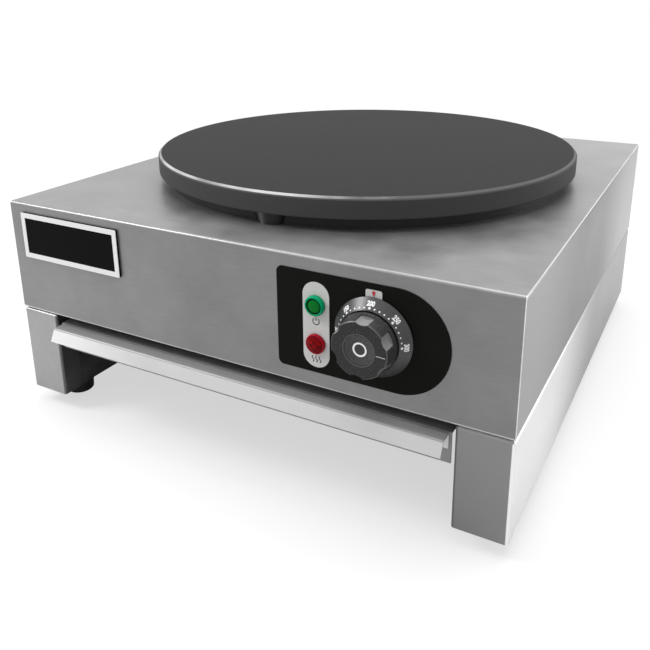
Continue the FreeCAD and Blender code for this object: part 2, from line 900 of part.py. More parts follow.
def limit_cutout():
    top = vec(0, plate_y - cutout_from_centre, pan_bottom_z)
    can = rod(cutout_radius, top - vec(0, 0, cutout_height), top)
    flange = block(
        -1.5 * cutout_radius,
        1.5 * cutout_radius,
        top.y - cutout_radius / 2,
        top.y + cutout_radius / 2,
        top.z - sheet,
        top.z,
    )
    return can.fuse(flange).removeSplitter()


# Controls. Heights are measured out from the front face.

def thermostat_body():
    half = thermostat_width / 2
    half_height = thermostat_height / 2
    case = block(-half, half, -half_height, half_height, -thermostat_depth, 0)
    uprights = [edge for edge in case.Edges if edge.BoundBox.ZLength > thermostat_depth / 2]
    case = case.makeFillet(thermostat_corner, uprights)
    case.translate(vec(0, 0, -sheet))
    bushing = rod(bushing_radius, vec(0, 0, -sheet - 1), vec(0, 0, overlay_thickness))
    shape = case.fuse(bushing).removeSplitter()
    shape = shape.cut(rod(spindle_radius + running_gap, vec(0, 0, -spindle_depth - 1), vec(0, 0, through)))
    for side in (-1, 1):
        x = side * thermostat_screw_pitch / 2
        hole = rod(screw_radius + fit_gap, vec(x, 0, -sheet - thermostat_screw_depth), vec(x, 0, 0))
        shape = shape.cut(hole)
    return facing_front(shape, dial_x, dial_z)


def thermostat_screws():
    # Flat heads lie on the front panel, sunk in the overlay and under the dial
    pieces = []
    for x, z in thermostat_screw_places():
        shape = rod(screw_radius, vec(0, 0, -sheet - 7), vec(0, 0, 0))
        shape = shape.fuse(rod(screw_head_radius, vec(0, 0, 0), vec(0, 0, overlay_thickness)))
        pieces.append(facing_front(shape, x, z))
    return Part.makeCompound(pieces)


def dial_spindle():
    shape = rod(spindle_radius, vec(0, 0, -spindle_depth), vec(0, 0, spindle_reach))
    top = spindle_radius - spindle_flat
    flat = block(-spindle_radius, spindle_radius, top, spindle_radius + 1, skirt_floor, spindle_reach + 1)
    return facing_front(shape.cut(flat), dial_x, dial_z)


def dial_skirt():
    bore = spindle_radius + fit_gap
    under = skirt_radius - skirt_wall * (math.sqrt(2) - 1)
    low = skirt_floor - skirt_wall
    profile = [
        (under, skirt_standoff),
        (skirt_radius, skirt_standoff),
        (skirt_radius, skirt_standoff + skirt_edge),
        (skirt_inner_radius, skirt_front),
        (skirt_inner_radius, skirt_floor),
        (bore, skirt_floor),
        (bore, low),
        (under - (low - skirt_standoff), low),
    ]
    return facing_front(turned(profile), dial_x, dial_z)


def knob_scoop(angle):
    # A round cutter along the knob, with a flat end that leaves a shoulder at the back
    x = knob_face_radius - scoop_depth + scoop_radius
    shape = rod(scoop_radius, vec(x, 0, knob_reach - scoop_length), vec(x, 0, knob_reach + 1))
    shape.rotate(vec(0, 0, 0), vec(0, 0, 1), 90 - angle)
    return shape


def knob_body():
    profile = [
        (0, skirt_floor),
        (knob_base_radius, skirt_floor),
        (knob_base_radius, skirt_floor + knob_base_height),
        (knob_waist_radius, skirt_floor + knob_base_height + knob_waist_rise),
        (knob_face_radius, knob_reach - knob_face_rounding),
        (knob_face_radius - knob_face_rounding, knob_reach),
        (0, knob_reach),
    ]
    shape = turned(profile)
    for i in range(scoop_count):
        shape = shape.cut(knob_scoop(scoop_first_angle + i * 360 / scoop_count))
    ball_radius = (dish_radius**2 + dish_depth**2) / (2 * dish_depth)
    shape = shape.cut(Part.makeSphere(ball_radius, vec(0, 0, knob_reach - dish_depth + ball_radius)))
    cap_bottom = knob_reach - cap_below_face - cap_thickness
    shape = shape.cut(rod(cap_radius + fit_gap, vec(0, 0, cap_bottom), vec(0, 0, knob_reach)))
    bar = block(pointer_inner_radius, pointer_outer_radius, -pointer_width / 2, pointer_width / 2,
                knob_reach - 1, knob_reach + pointer_raise)
    bar.rotate(vec(0, 0, 0), vec(0, 0, 1), 90 - pointer_angle)
    shape = shape.fuse(bar)
    shape = shape.cut(rod(spindle_radius + fit_gap, vec(0, 0, 0), vec(0, 0, spindle_reach + fit_gap)))
    return facing_front(shape, dial_x, dial_z)


def knob_cap():
    top = knob_reach - cap_below_face
    shape = rod(cap_radius, vec(0, 0, top - cap_thickness), vec(0, 0, top))
    shape = shape.cut(rod(cap_well_radius, vec(0, 0, top - cap_well_depth), vec(0, 0, top + 1)))
    return facing_front(shape, dial_x, dial_z)


def control_overlay():
    half = overlay_height / 2
    left = overlay_left
    shape = block(left, overlay_end_x, 0, overlay_thickness, -half, half)
    uprights = [edge for edge in shape.Edges if edge.BoundBox.YLength > 0.1 and edge.BoundBox.XMax < left + 1]
    shape = shape.makeFillet(overlay_corner, uprights)
    round_end = rod(half, vec(overlay_end_x, 0, 0), vec(overlay_end_x, overlay_thickness, 0))
    shape = shape.fuse(round_end).removeSplitter()
    shape.translate(vec(0, front_y - overlay_thickness, dial_z))
    holes = [(bushing_radius + fit_gap, [(dial_x, dial_z)])]
    holes.append((lens_stem_radius + fit_gap, lamp_places()))
    holes.append((screw_head_radius + fit_gap, thermostat_screw_places()))
    for radius, spots in holes:
        starts = [vec(x, front_y - through, z) for x, z in spots]
        shape = drilled(shape, radius, starts, vec(0, 2 * through, 0))
    return shape


def rounded_plate(x, z, width, height, corner, y0, y1):
    shape = block(x - width / 2, x + width / 2, y0, y1, z - height / 2, z + height / 2)
    uprights = [edge for edge in shape.Edges if edge.BoundBox.YLength > (y1 - y0) / 2]
    return shape.makeFillet(corner, uprights)


def indicator_label():
    y0, y1 = front_y - label_front, front_y - overlay_thickness
    shape = rounded_plate(lamp_x, dial_z - label_drop, label_width, label_height, label_corner, y0, y1)
    starts = [vec(x, front_y - through, z) for x, z in lamp_places()]
    return drilled(shape, lens_stem_radius + fit_gap, starts, vec(0, 2 * through, 0))


def pointer_tab():
    y0, y1 = front_y - label_front, front_y - overlay_thickness
    middle = dial_z + (tab_low + tab_high) / 2
    return rounded_plate(dial_x, middle, tab_width, tab_high - tab_low, tab_corner, y0, y1)


def pointer_mark():
    # A drop that points down at the dial
    top = vec(0, tab_high - mark_radius - 0.6, 0)
    angle = math.asin(mark_radius / (mark_length - mark_radius))
    side = vec(mark_radius * math.cos(angle), -mark_radius * math.sin(angle), 0)
    points = [top + side, top - vec(0, mark_length - mark_radius, 0), top + vec(-side.x, side.y, 0)]
    edges = [
        Part.LineSegment(points[0], points[1]).toShape(),
        Part.LineSegment(points[1], points[2]).toShape(),
        Part.Arc(points[2], top + vec(0, mark_radius, 0), points[0]).toShape(),
    ]
    shape = Part.Face(Part.Wire(edges)).extrude(vec(0, 0, label_thickness))
    shape.translate(vec(0, 0, label_front))
    return facing_front(shape, dial_x, dial_z)


def lamp_lens(spot):
    z0 = label_front
    wall = z0 + lens_wall_height
    cap = lens_height - lens_wall_height
    ball_radius = (lens_radius**2 + cap**2) / (2 * cap)
    dome = Part.makeSphere(ball_radius, vec(0, 0, wall + cap - ball_radius))
    shape = rod(lens_radius, vec(0, 0, z0), vec(0, 0, wall + cap)).common(dome)
    shape = shape.fuse(rod(lens_stem_radius, vec(0, 0, -sheet), vec(0, 0, z0))).removeSplitter()
    return facing_front(shape, *spot)


def lamp_holders():
    pieces = []
    back = -sheet - holder_length
    half = blade_thickness / 2
    for spot in lamp_places():
        shape = rod(holder_radius, vec(0, 0, back), vec(0, 0, -sheet))
        for z in (-blade_from_centre, blade_from_centre):
            blade = block(-half, half, z - blade_width / 2, z + blade_width / 2, back - blade_length, back)
            shape = shape.fuse(blade)
        pieces.append(facing_front(shape.removeSplitter(), *spot))
    return Part.makeCompound(pieces)


def nameplate_middle():
    x = -side_x + nameplate_from_left + nameplate_width / 2
    return x, deck_z - nameplate_from_top - nameplate_height / 2


def nameplate_backing():
    x, z = nameplate_middle()
    y0 = front_y - nameplate_thickness
    return rounded_plate(x, z, nameplate_width, nameplate_height, nameplate_corner, y0, front_y)


def nameplate_border_frame():
    x, z = nameplate_middle()
    y1 = front_y - nameplate_thickness
    y0 = y1 - nameplate_border_raise
    width = nameplate_width - 2 * nameplate_border
    height = nameplate_height - 2 * nameplate_border
    field = rounded_plate(x, z, width, height, nameplate_field_corner, y0 - 1, y1 + 1)
    return rounded_plate(x, z, nameplate_width, nameplate_height, nameplate_corner, y0, y1).cut(field)


# Mains entry and wiring

def cable_gland():
    collar = hexagon(gland_collar_radius, 0, gland_collar_length)
    nose = rod(gland_thread_radius, vec(0, 0, gland_collar_length), vec(0, 0, gland_reach))
    tip = [edge for edge in nose.Edges if edge.BoundBox.ZMin > gland_reach - 0.1]
    nose = nose.makeFillet(2, tip)
    thread = rod(gland_thread_radius, vec(0, 0, -gland_inside), vec(0, 0, 0))
    shape = collar.fuse([nose, thread]).removeSplitter()
    shape = shape.cut(rod(gland_bore_radius, vec(0, 0, -gland_inside - 1), vec(0, 0, gland_reach + 1)))
    return facing_rear(shape, gland_x, gland_z)


def gland_locknut():
    shape = nut(locknut_radius, gland_thread_radius + fit_gap, locknut_height)
    shape.translate(vec(0, 0, -sheet - locknut_height))
    return facing_rear(shape, gland_x, gland_z)


def terminal_middle():
    return vec(gland_x, rear_y - terminal_from_rear, base_top_z)


def terminal_block():
    spot = terminal_middle()
    x0, x1 = spot.x - terminal_width / 2, spot.x + terminal_width / 2
    y0, y1 = spot.y - terminal_depth / 2, spot.y + terminal_depth / 2
    top = spot.z + terminal_height
    shape = block(x0, x1, y0, y1, spot.z, top)
    step = terminal_width / terminal_poles
    for i in range(terminal_poles):
        for side in (-1, 1):
            start = vec(x0 + step * (i + 0.5), spot.y + side * terminal_depth / 4, top - terminal_pole_depth)
            shape = drilled(shape, terminal_pole_radius, [start], vec(0, 0, terminal_pole_depth + 1))
    return shape


def earth_stud():
    low = vec(earth_x, rear_y - earth_from_rear, base_top_z - sheet)
    shape = rod(earth_radius, low, low + vec(0, 0, earth_length))
    collar = hexagon(nut_radius + 0.5, 0, nut_height)
    collar.translate(vec(low.x, low.y, base_top_z))
    return shape.fuse(collar).removeSplitter()


def wiring():
    # Leads from the terminal block to the thermostat and to the heating element
    spot = terminal_middle()
    step = terminal_width / terminal_poles
    front = spot.y - terminal_depth / 2
    level = spot.z + terminal_height / 2
    back = front_y + sheet + thermostat_depth
    run_x = leg_inner_x - 4 * wire_bend
    low = pan_bottom_z - insulator_height - 2 * wire_bend
    tail_end = vec(0, 0, plate_bottom_z - element_tube_radius - element_tail)
    inner, outer = [end + tail_end for end in element_ends()]
    to_thermostat = [
        vec(spot.x + step, front, level),
        vec(spot.x + step, front - 3 * wire_bend, level),
        vec(run_x, front - 3 * wire_bend, level),
        vec(run_x, back + 3 * wire_bend, level),
        vec(dial_x + 2 * wire_bend, back + 3 * wire_bend, level),
        vec(dial_x + 2 * wire_bend, back + 3 * wire_bend, dial_z),
        vec(dial_x + 2 * wire_bend, back, dial_z),
    ]
    thermostat_to_element = [
        inner,
        vec(inner.x, inner.y, low),
        vec(inner.x, back + 5 * wire_bend, low),
        vec(dial_x - 2 * wire_bend, back + 5 * wire_bend, low),
        vec(dial_x - 2 * wire_bend, back + 5 * wire_bend, dial_z),
        vec(dial_x - 2 * wire_bend, back, dial_z),
    ]
    to_element = [
        vec(spot.x, front, level),
        vec(spot.x, outer.y, level),
        vec(outer.x, outer.y, level),
        outer,
    ]
    runs = [to_thermostat, thermostat_to_element, to_element]
    return Part.makeCompound([bent_tube(run, wire_radius, wire_bend) for run in runs])


save("top_casing", top_casing())
save("right_side_cover", right_side_cover())
save("left_side_cover", mirrored(right_side_cover()))
save("base_plate", base_plate())
save("right_leg", right_leg())
save("left_leg", mirrored(right_leg()))
save("right_leg_inner_plate", right_leg_inner_plate())
save("left_leg_inner_plate", mirrored(right_leg_inner_plate()))
for foot_name, foot_place in zip(("front_left", "front_right", "rear_left", "rear_right"), foot_places(0)):
    save(foot_name + "_foot", copies(foot(), [foot_place]))
save("foot_screws", foot_screws())
save("foot_nuts", foot_nuts())
save("leg_washers", leg_washers())
save("leg_screws", leg_screws())
save("leg_nuts", leg_nuts())
save("base_screws", base_screws())
save("right_tray_rail", right_tray_rail())
save("left_tray_rail", mirrored(right_tray_rail()))
save("rail_rivets", rail_rivets())
save("tray_pan", tray_pan())
save("tray_handle", tray_handle())
save("handle_rivets", handle_rivets())
save("griddle_plate", griddle_plate())
save("plate_bosses", plate_bosses())
save("plate_studs", plate_studs())
save("plate_nuts", plate_nuts())
save("heat_guard_ring", heat_guard_ring())
save("heater_pan", heater_pan())
save("insulation_disc", insulation_disc())
save("heating_element", heating_element())
save("terminal_insulators", terminal_insulators())
save("element_clamp", element_clamp())
save("clamp_stud", clamp_stud())
save("clamp_nut", clamp_nut())
save("sensor_bulb", sensor_bulb())
save("capillary_tube", capillary_tube())
save("limit_cutout", limit_cutout())
save("thermostat_body", thermostat_body())
save("thermostat_screws", thermostat_screws())
save("dial_spindle", dial_spindle())
save("dial_skirt", dial_skirt())
save("knob_body", knob_body())
save("knob_cap", knob_cap())
save("control_overlay", control_overlay())
save("indicator_label", indicator_label())
save("pointer_tab", pointer_tab())
save("pointer_mark", pointer_mark())
for lens_name, lens_place in zip(("power", "heat"), lamp_places()):
    save(lens_name + "_lamp_lens", lamp_lens(lens_place))
save("lamp_holders", lamp_holders())
save("nameplate_backing", nameplate_backing())
save("nameplate_border", nameplate_border_frame())
save("cable_gland", cable_gland())
save("gland_locknut", gland_locknut())
save("terminal_block", terminal_block())
save("earth_stud", earth_stud())
save("wiring", wiring())
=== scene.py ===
import math

import bmesh
import bpy
from mathutils import Matrix, Vector


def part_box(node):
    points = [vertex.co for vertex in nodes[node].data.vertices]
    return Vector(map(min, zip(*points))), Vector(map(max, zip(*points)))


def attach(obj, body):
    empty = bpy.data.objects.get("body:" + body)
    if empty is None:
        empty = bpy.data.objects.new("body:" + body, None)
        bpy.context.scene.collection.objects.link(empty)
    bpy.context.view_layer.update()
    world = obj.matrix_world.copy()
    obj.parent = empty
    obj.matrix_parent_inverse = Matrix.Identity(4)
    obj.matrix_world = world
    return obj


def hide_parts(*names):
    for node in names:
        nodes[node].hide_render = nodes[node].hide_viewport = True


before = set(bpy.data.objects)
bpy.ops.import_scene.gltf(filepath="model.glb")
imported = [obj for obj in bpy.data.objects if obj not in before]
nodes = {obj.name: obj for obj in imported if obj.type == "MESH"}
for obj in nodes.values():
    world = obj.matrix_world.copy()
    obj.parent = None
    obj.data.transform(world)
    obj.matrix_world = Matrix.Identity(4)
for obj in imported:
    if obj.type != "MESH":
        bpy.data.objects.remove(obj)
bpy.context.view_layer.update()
mm = 0.001
print("frame loaded:", len(nodes), "nodes")


# Camera, stage and light

cameraView = {
    "place": (0.3198, -0.6551, 0.3743),  # metres, from the edges of the body in the photograph
    "azimuth": 29.057,
    "elevation": 17.627,
    "roll": -0.556,
    "lens": 41.59,
    "shiftY": -0.1615,
}

stageLook = {
    "floorSize": 6.0,
    "floorDrop": 0.3 * mm,  # keeps the floor just under the feet
    "floorRough": 0.9,
    "floorSpecular": 0.1,
    "floorShown": (1.0, 1.0, 1.0, 1),  # what the camera sees
    "floorColour": (0.50, 0.50, 0.50, 1),  # what lights the object
    "floorMirrored": (0.80, 0.80, 0.80, 1),  # what its metal shows
    "shadowShare": 0.4,  # how much of the object's shadow shows near it
    "whiteFrom": 0.45,  # metres from the middle, where the floor starts to fade to white
    "whiteAt": 1.0,
    "worldLight": 0.55,
    "worldColour": (1.0, 1.0, 1.0, 1),
}

lamps = [
    # name, place, aim, size, power
    ("overheadSoftbox", (0.1, 0.1, 1.5), (0, 0, 0.1), 1.4, 16),
    ("rightSoftbox", (1.5, 0.9, 0.7), (0, 0, 0.1), 1.0, 8),
    ("leftSoftbox", (-1.05, -0.75, 1.15), (0, -0.1, 0.15), 0.5, 12),
]


def makeCamera(view):
    turn, tip, roll = (math.radians(view[key]) for key in ("azimuth", "elevation", "roll"))
    ahead = Vector((-math.sin(turn) * math.cos(tip), math.cos(turn) * math.cos(tip), -math.sin(tip)))
    level = ahead.cross(Vector((0, 0, 1))).normalized()
    upright = level.cross(ahead)
    right = level * math.cos(roll) + upright * math.sin(roll)
    up = upright * math.cos(roll) - level * math.sin(roll)
    data = bpy.data.cameras.new("camera")
    data.lens = view["lens"]
    data.sensor_width = 36
    data.shift_y = view["shiftY"]
    data.clip_start, data.clip_end = 0.01, 30
    camera = bpy.data.objects.new("camera", data)
    bpy.context.scene.collection.objects.link(camera)
    rows = Matrix((right, up, -ahead)).transposed().to_4x4()
    camera.matrix_world = Matrix.Translation(Vector(view["place"])) @ rows
    bpy.context.scene.camera = camera


def makeStage(look):
    mesh = bpy.data.meshes.new("floor")
    sheet = bmesh.new()
    bmesh.ops.create_grid(sheet, x_segments=1, y_segments=1, size=look["floorSize"] / 2)
    bmesh.ops.translate(sheet, verts=sheet.verts, vec=(0, 0, -look["floorDrop"]))
    sheet.to_mesh(mesh)
    sheet.free()
    floor = bpy.data.objects.new("floor", mesh)
    bpy.context.scene.collection.objects.link(floor)
    material = bpy.data.materials.new("paleFloor")
    material.use_nodes = True
    tree = material.node_tree
    shader = tree.nodes["Principled BSDF"]
    shader.inputs["Roughness"].default_value = look["floorRough"]
    shader.inputs["Specular IOR Level"].default_value = look["floorSpecular"]
    path = tree.nodes.new("ShaderNodeLightPath")
    mix = tree.nodes.new("ShaderNodeMix")
    mix.data_type = "RGBA"
    mix.inputs["A"].default_value = look["floorColour"]
    mix.inputs["B"].default_value = look["floorShown"]
    tree.links.new(path.outputs["Is Camera Ray"], mix.inputs["Factor"])
    mirrored = tree.nodes.new("ShaderNodeMix")
    mirrored.data_type = "RGBA"
    mirrored.inputs["B"].default_value = look["floorMirrored"]
    tree.links.new(path.outputs["Is Glossy Ray"], mirrored.inputs["Factor"])
    tree.links.new(mix.outputs["Result"], mirrored.inputs["A"])
    tree.links.new(mirrored.outputs["Result"], shader.inputs["Base Color"])
    where = tree.nodes.new("ShaderNodeTexCoord")
    reach = tree.nodes.new("ShaderNodeVectorMath")
    reach.operation = "LENGTH"
    fade = tree.nodes.new("ShaderNodeMapRange")
    fade.inputs["From Min"].default_value = look["whiteFrom"]
    fade.inputs["From Max"].default_value = look["whiteAt"]
    fade.inputs["To Min"].default_value = 1 - look["shadowShare"]
    shown = tree.nodes.new("ShaderNodeMath")
    shown.operation = "MULTIPLY"
    white = tree.nodes.new("ShaderNodeEmission")
    blend = tree.nodes.new("ShaderNodeMixShader")
    tree.links.new(where.outputs["Object"], reach.inputs[0])
    tree.links.new(reach.outputs["Value"], fade.inputs["Value"])
    tree.links.new(fade.outputs["Result"], shown.inputs[0])
    tree.links.new(path.outputs["Is Camera Ray"], shown.inputs[1])
    tree.links.new(shown.outputs[0], blend.inputs["Fac"])
    tree.links.new(shader.outputs[0], blend.inputs[1])
    tree.links.new(white.outputs[0], blend.inputs[2])
    tree.links.new(blend.outputs[0], tree.nodes["Material Output"].inputs["Surface"])
    mesh.materials.append(material)

    world = bpy.data.worlds.new("studio")
    world.use_nodes = True
    bpy.context.scene.world = world
    tree = world.node_tree
    back = tree.nodes["Background"]
    path = tree.nodes.new("ShaderNodeLightPath")
    seen = tree.nodes.new("ShaderNodeMath")
    seen.operation = "MAXIMUM"
    shine = tree.nodes.new("ShaderNodeMath")
    shine.operation = "MAXIMUM"
    strength = tree.nodes.new("ShaderNodeMapRange")
    strength.inputs["To Min"].default_value = look["worldLight"]
    strength.inputs["To Max"].default_value = 1.0
    tree.links.new(path.outputs["Is Glossy Ray"], shine.inputs[0])
    tree.links.new(path.outputs["Is Transmission Ray"], shine.inputs[1])
    tree.links.new(path.outputs["Is Camera Ray"], seen.inputs[0])
    tree.links.new(shine.outputs[0], seen.inputs[1])
    tree.links.new(seen.outputs[0], strength.inputs["Value"])
    tree.links.new(strength.outputs["Result"], back.inputs["Strength"])
    back.inputs["Color"].default_value = look["worldColour"]


def makeLamps(rows):
    for name, place, aim, size, power in rows:
        data = bpy.data.lights.new(name, "AREA")
        data.shape = "SQUARE"
        data.size = size
        data.energy = power
        lamp = bpy.data.objects.new(name, data)
        bpy.context.scene.collection.objects.link(lamp)
        lamp.location = place
        lamp.rotation_mode = "QUATERNION"
        lamp.rotation_quaternion = (Vector(aim) - Vector(place)).to_track_quat("-Z", "Y")


makeCamera(cameraView)
makeStage(stageLook)
makeLamps(lamps)
bpy.context.scene.view_settings.view_transform = "Standard"
print("camera, floor and lamps made")


# Node groups that several materials share

def newGroup(name, inputs, outputs):
    group = bpy.data.node_groups.new(name, "ShaderNodeTree")
    for label, kind, value in inputs:
        socket = group.interface.new_socket(name=label, in_out="INPUT", socket_type=kind)
        socket.default_value = value
    for label, kind in outputs:
        group.interface.new_socket(name=label, in_out="OUTPUT", socket_type=kind)
    return group, group.nodes.new("NodeGroupInput"), group.nodes.new("NodeGroupOutput")


def makeGrainGroup():
    # Fine rolling grain drawn out along one direction, and slow clouds over the whole sheet
    group, start, end = newGroup(
        "rolledGrain",
        [
            ("Stretch", "NodeSocketVector", (60, 900, 900)),
            ("Grain", "NodeSocketFloat", 0.5),
            ("Cloud Scale", "NodeSocketFloat", 9.0),
        ],
        [("Grain", "NodeSocketFloat"), ("Cloud", "NodeSocketFloat"), ("Normal", "NodeSocketVector")],
    )
    where = group.nodes.new("ShaderNodeTexCoord")
    stretch = group.nodes.new("ShaderNodeVectorMath")
    stretch.operation = "MULTIPLY"
    lines = group.nodes.new("ShaderNodeTexNoise")
    lines.inputs["Scale"].default_value = 1.0
    lines.inputs["Detail"].default_value = 3.0
    clouds = group.nodes.new("ShaderNodeTexNoise")
    clouds.inputs["Detail"].default_value = 4.0
    clouds.inputs["Roughness"].default_value = 0.6
    bump = group.nodes.new("ShaderNodeBump")
    bump.inputs["Distance"].default_value = 0.00002
    link = group.links.new
    link(where.outputs["Object"], stretch.inputs[0])
    link(start.outputs["Stretch"], stretch.inputs[1])
    link(stretch.outputs[0], lines.inputs["Vector"])
    link(where.outputs["Object"], clouds.inputs["Vector"])
    link(start.outputs["Cloud Scale"], clouds.inputs["Scale"])
    link(lines.outputs["Fac"], bump.inputs["Height"])
    link(start.outputs["Grain"], bump.inputs["Strength"])
    link(lines.outputs["Fac"], end.inputs["Grain"])
    link(clouds.outputs["Fac"], end.inputs["Cloud"])
    link(bump.outputs["Normal"], end.inputs["Normal"])
    return group


def makePlaceGroup():
    # Goes from 0 to 1 along a direction of the object, between two distances in metres
    group, start, end = newGroup(
        "placeMask",
        [
            ("Direction", "NodeSocketVector", (0, 0, 1)),
            ("From", "NodeSocketFloat", 0.0),
            ("To", "NodeSocketFloat", 0.1),
        ],
        [("Mask", "NodeSocketFloat")],
    )
    where = group.nodes.new("ShaderNodeTexCoord")
    along = group.nodes.new("ShaderNodeVectorMath")
    along.operation = "DOT_PRODUCT"
    span = group.nodes.new("ShaderNodeMapRange")
    span.interpolation_type = "SMOOTHSTEP"
    link = group.links.new
    link(where.outputs["Object"], along.inputs[0])
    link(start.outputs["Direction"], along.inputs[1])
    link(along.outputs["Value"], span.inputs["Value"])
    link(start.outputs["From"], span.inputs["From Min"])
    link(start.outputs["To"], span.inputs["From Max"])
    link(span.outputs["Result"], end.inputs["Mask"])
    return group


def makeSpeckGroup():
    # Small pale specks of dust and sparkle on dark pieces, and a fine moulded texture
    group, start, end = newGroup(
        "specks",
        [
            ("Scale", "NodeSocketFloat", 900.0),
            ("Amount", "NodeSocketFloat", 0.3),
            ("Texture", "NodeSocketFloat", 0.3),
            ("Depth", "NodeSocketFloat", 0.00003),
        ],
        [("Speck", "NodeSocketFloat"), ("Normal", "NodeSocketVector")],
    )
    where = group.nodes.new("ShaderNodeTexCoord")
    noise = group.nodes.new("ShaderNodeTexNoise")
    noise.inputs["Detail"].default_value = 2.0
    ramp = group.nodes.new("ShaderNodeMapRange")
    ramp.inputs["From Min"].default_value = 0.58
    ramp.inputs["From Max"].default_value = 0.75
    amount = group.nodes.new("ShaderNodeMath")
    amount.operation = "MULTIPLY"
    bump = group.nodes.new("ShaderNodeBump")
    link = group.links.new
    link(where.outputs["Object"], noise.inputs["Vector"])
    link(start.outputs["Scale"], noise.inputs["Scale"])
    link(noise.outputs["Fac"], ramp.inputs["Value"])
    link(ramp.outputs["Result"], amount.inputs[0])
    link(start.outputs["Amount"], amount.inputs[1])
    link(noise.outputs["Fac"], bump.inputs["Height"])
    link(start.outputs["Texture"], bump.inputs["Strength"])
    link(start.outputs["Depth"], bump.inputs["Distance"])
    link(amount.outputs[0], end.inputs["Speck"])
    link(bump.outputs["Normal"], end.inputs["Normal"])
    return group


grainGroup = makeGrainGroup()
placeGroup = makePlaceGroup()
speckGroup = makeSpeckGroup()


# Materials

def newMaterial(name, **sockets):
    material = bpy.data.materials.new(name)
    material.use_nodes = True
    shader = material.node_tree.nodes["Principled BSDF"]
    for label, value in sockets.items():
        shader.inputs[label.replace("_", " ")].default_value = value
    return material, material.node_tree, shader


def mixColours(tree, factor, first, second):
    mix = tree.nodes.new("ShaderNodeMix")
    mix.data_type = "RGBA"
    mix.inputs["A"].default_value = first
    mix.inputs["B"].default_value = second
    tree.links.new(factor, mix.inputs["Factor"])
    return mix.outputs["Result"]


def laidOver(tree, colour, tone, factor):
    mix = tree.nodes.new("ShaderNodeMix")
    mix.data_type = "RGBA"
    mix.inputs["B"].default_value = tone
    tree.links.new(colour, mix.inputs["A"])
    tree.links.new(factor, mix.inputs["Factor"])
    return mix.outputs["Result"]


def evenColour(tree, value):
    base = tree.nodes.new("ShaderNodeRGB")
    base.outputs[0].default_value = value
    return base.outputs[0]


def product(tree, *masks):
    result = masks[0]
    for mask in masks[1:]:
        both = tree.nodes.new("ShaderNodeMath")
        both.operation = "MULTIPLY"
        tree.links.new(result, both.inputs[0])
        tree.links.new(mask, both.inputs[1])
        result = both.outputs[0]
    return result


def ranged(tree, value, low, high, fromLow=0.3, fromHigh=0.7):
    span = tree.nodes.new("ShaderNodeMapRange")
    span.inputs["From Min"].default_value = fromLow
    span.inputs["From Max"].default_value = fromHigh
    span.inputs["To Min"].default_value = low
    span.inputs["To Max"].default_value = high
    tree.links.new(value, span.inputs["Value"])
    return span.outputs["Result"]


def placed(tree, direction, start, stop):
    mask = tree.nodes.new("ShaderNodeGroup")
    mask.node_tree = placeGroup
    mask.inputs["Direction"].default_value = direction
    mask.inputs["From"].default_value = start
    mask.inputs["To"].default_value = stop
    return mask.outputs["Mask"]


def grey(value):
    return (value, value, value, 1)


def steelSheet(name, stretch, tone, zones=(), metal=0.8, rough=(0.32, 0.44), grain=0.5, contrast=0.08,
               cloudScale=9):
    # The zones are (grey, direction, from, to), each laid over the ones before it
    material, tree, shader = newMaterial(name, Metallic=metal)
    marks = tree.nodes.new("ShaderNodeGroup")
    marks.node_tree = grainGroup
    marks.inputs["Stretch"].default_value = stretch
    marks.inputs["Grain"].default_value = grain
    marks.inputs["Cloud Scale"].default_value = cloudScale
    colour = evenColour(tree, tone if isinstance(tone, tuple) else grey(tone))
    for zoneTone, direction, start, stop in zones:
        colour = laidOver(tree, colour, grey(zoneTone), placed(tree, direction, start, stop))
    streak = mixColours(tree, marks.outputs["Grain"], grey(1 - contrast), grey(1))
    cloud = mixColours(tree, ranged(tree, marks.outputs["Cloud"], 0, 1), grey(1 - contrast), grey(1))
    for layer in (streak, cloud):
        mix = tree.nodes.new("ShaderNodeMix")
        mix.data_type = "RGBA"
        mix.blend_type = "MULTIPLY"
        mix.inputs["Factor"].default_value = 1.0
        tree.links.new(colour, mix.inputs["A"])
        tree.links.new(layer, mix.inputs["B"])
        colour = mix.outputs["Result"]
    tree.links.new(colour, shader.inputs["Base Color"])
    tree.links.new(ranged(tree, marks.outputs["Cloud"], *rough), shader.inputs["Roughness"])
    tree.links.new(marks.outputs["Normal"], shader.inputs["Normal"])
    return material


def speckMarks(tree, scale, amount, texture, depth=0.03 * mm):
    marks = tree.nodes.new("ShaderNodeGroup")
    marks.node_tree = speckGroup
    for label, value in (("Scale", scale), ("Amount", amount), ("Texture", texture), ("Depth", depth)):
        marks.inputs[label].default_value = value
    return marks


def speckled(name, colour, speck, rough, scale=900, amount=0.3, texture=0.3, depth=0.03 * mm, specular=0.5):
    material, tree, shader = newMaterial(name, Roughness=rough, Specular_IOR_Level=specular)
    marks = speckMarks(tree, scale, amount, texture, depth)
    tree.links.new(mixColours(tree, marks.outputs["Speck"], colour, speck), shader.inputs["Base Color"])
    tree.links.new(marks.outputs["Normal"], shader.inputs["Normal"])
    return material


def ringedMask(tree, inner, outer, middle):
    # Goes from 0 to 1 between two distances from an upright axis or from the dial's axis
    where = tree.nodes.new("ShaderNodeTexCoord")
    shift = tree.nodes.new("ShaderNodeMapping")
    shift.inputs["Location"].default_value = [-value for value in middle["place"]]
    flat = tree.nodes.new("ShaderNodeVectorMath")
    flat.operation = "MULTIPLY"
    flat.inputs[1].default_value = middle["across"]
    reach = tree.nodes.new("ShaderNodeVectorMath")
    reach.operation = "LENGTH"
    tree.links.new(where.outputs["Object"], shift.inputs["Vector"])
    tree.links.new(shift.outputs["Vector"], flat.inputs[0])
    tree.links.new(flat.outputs["Vector"], reach.inputs[0])
    return ranged(tree, reach.outputs["Value"], 0, 1, inner, outer)


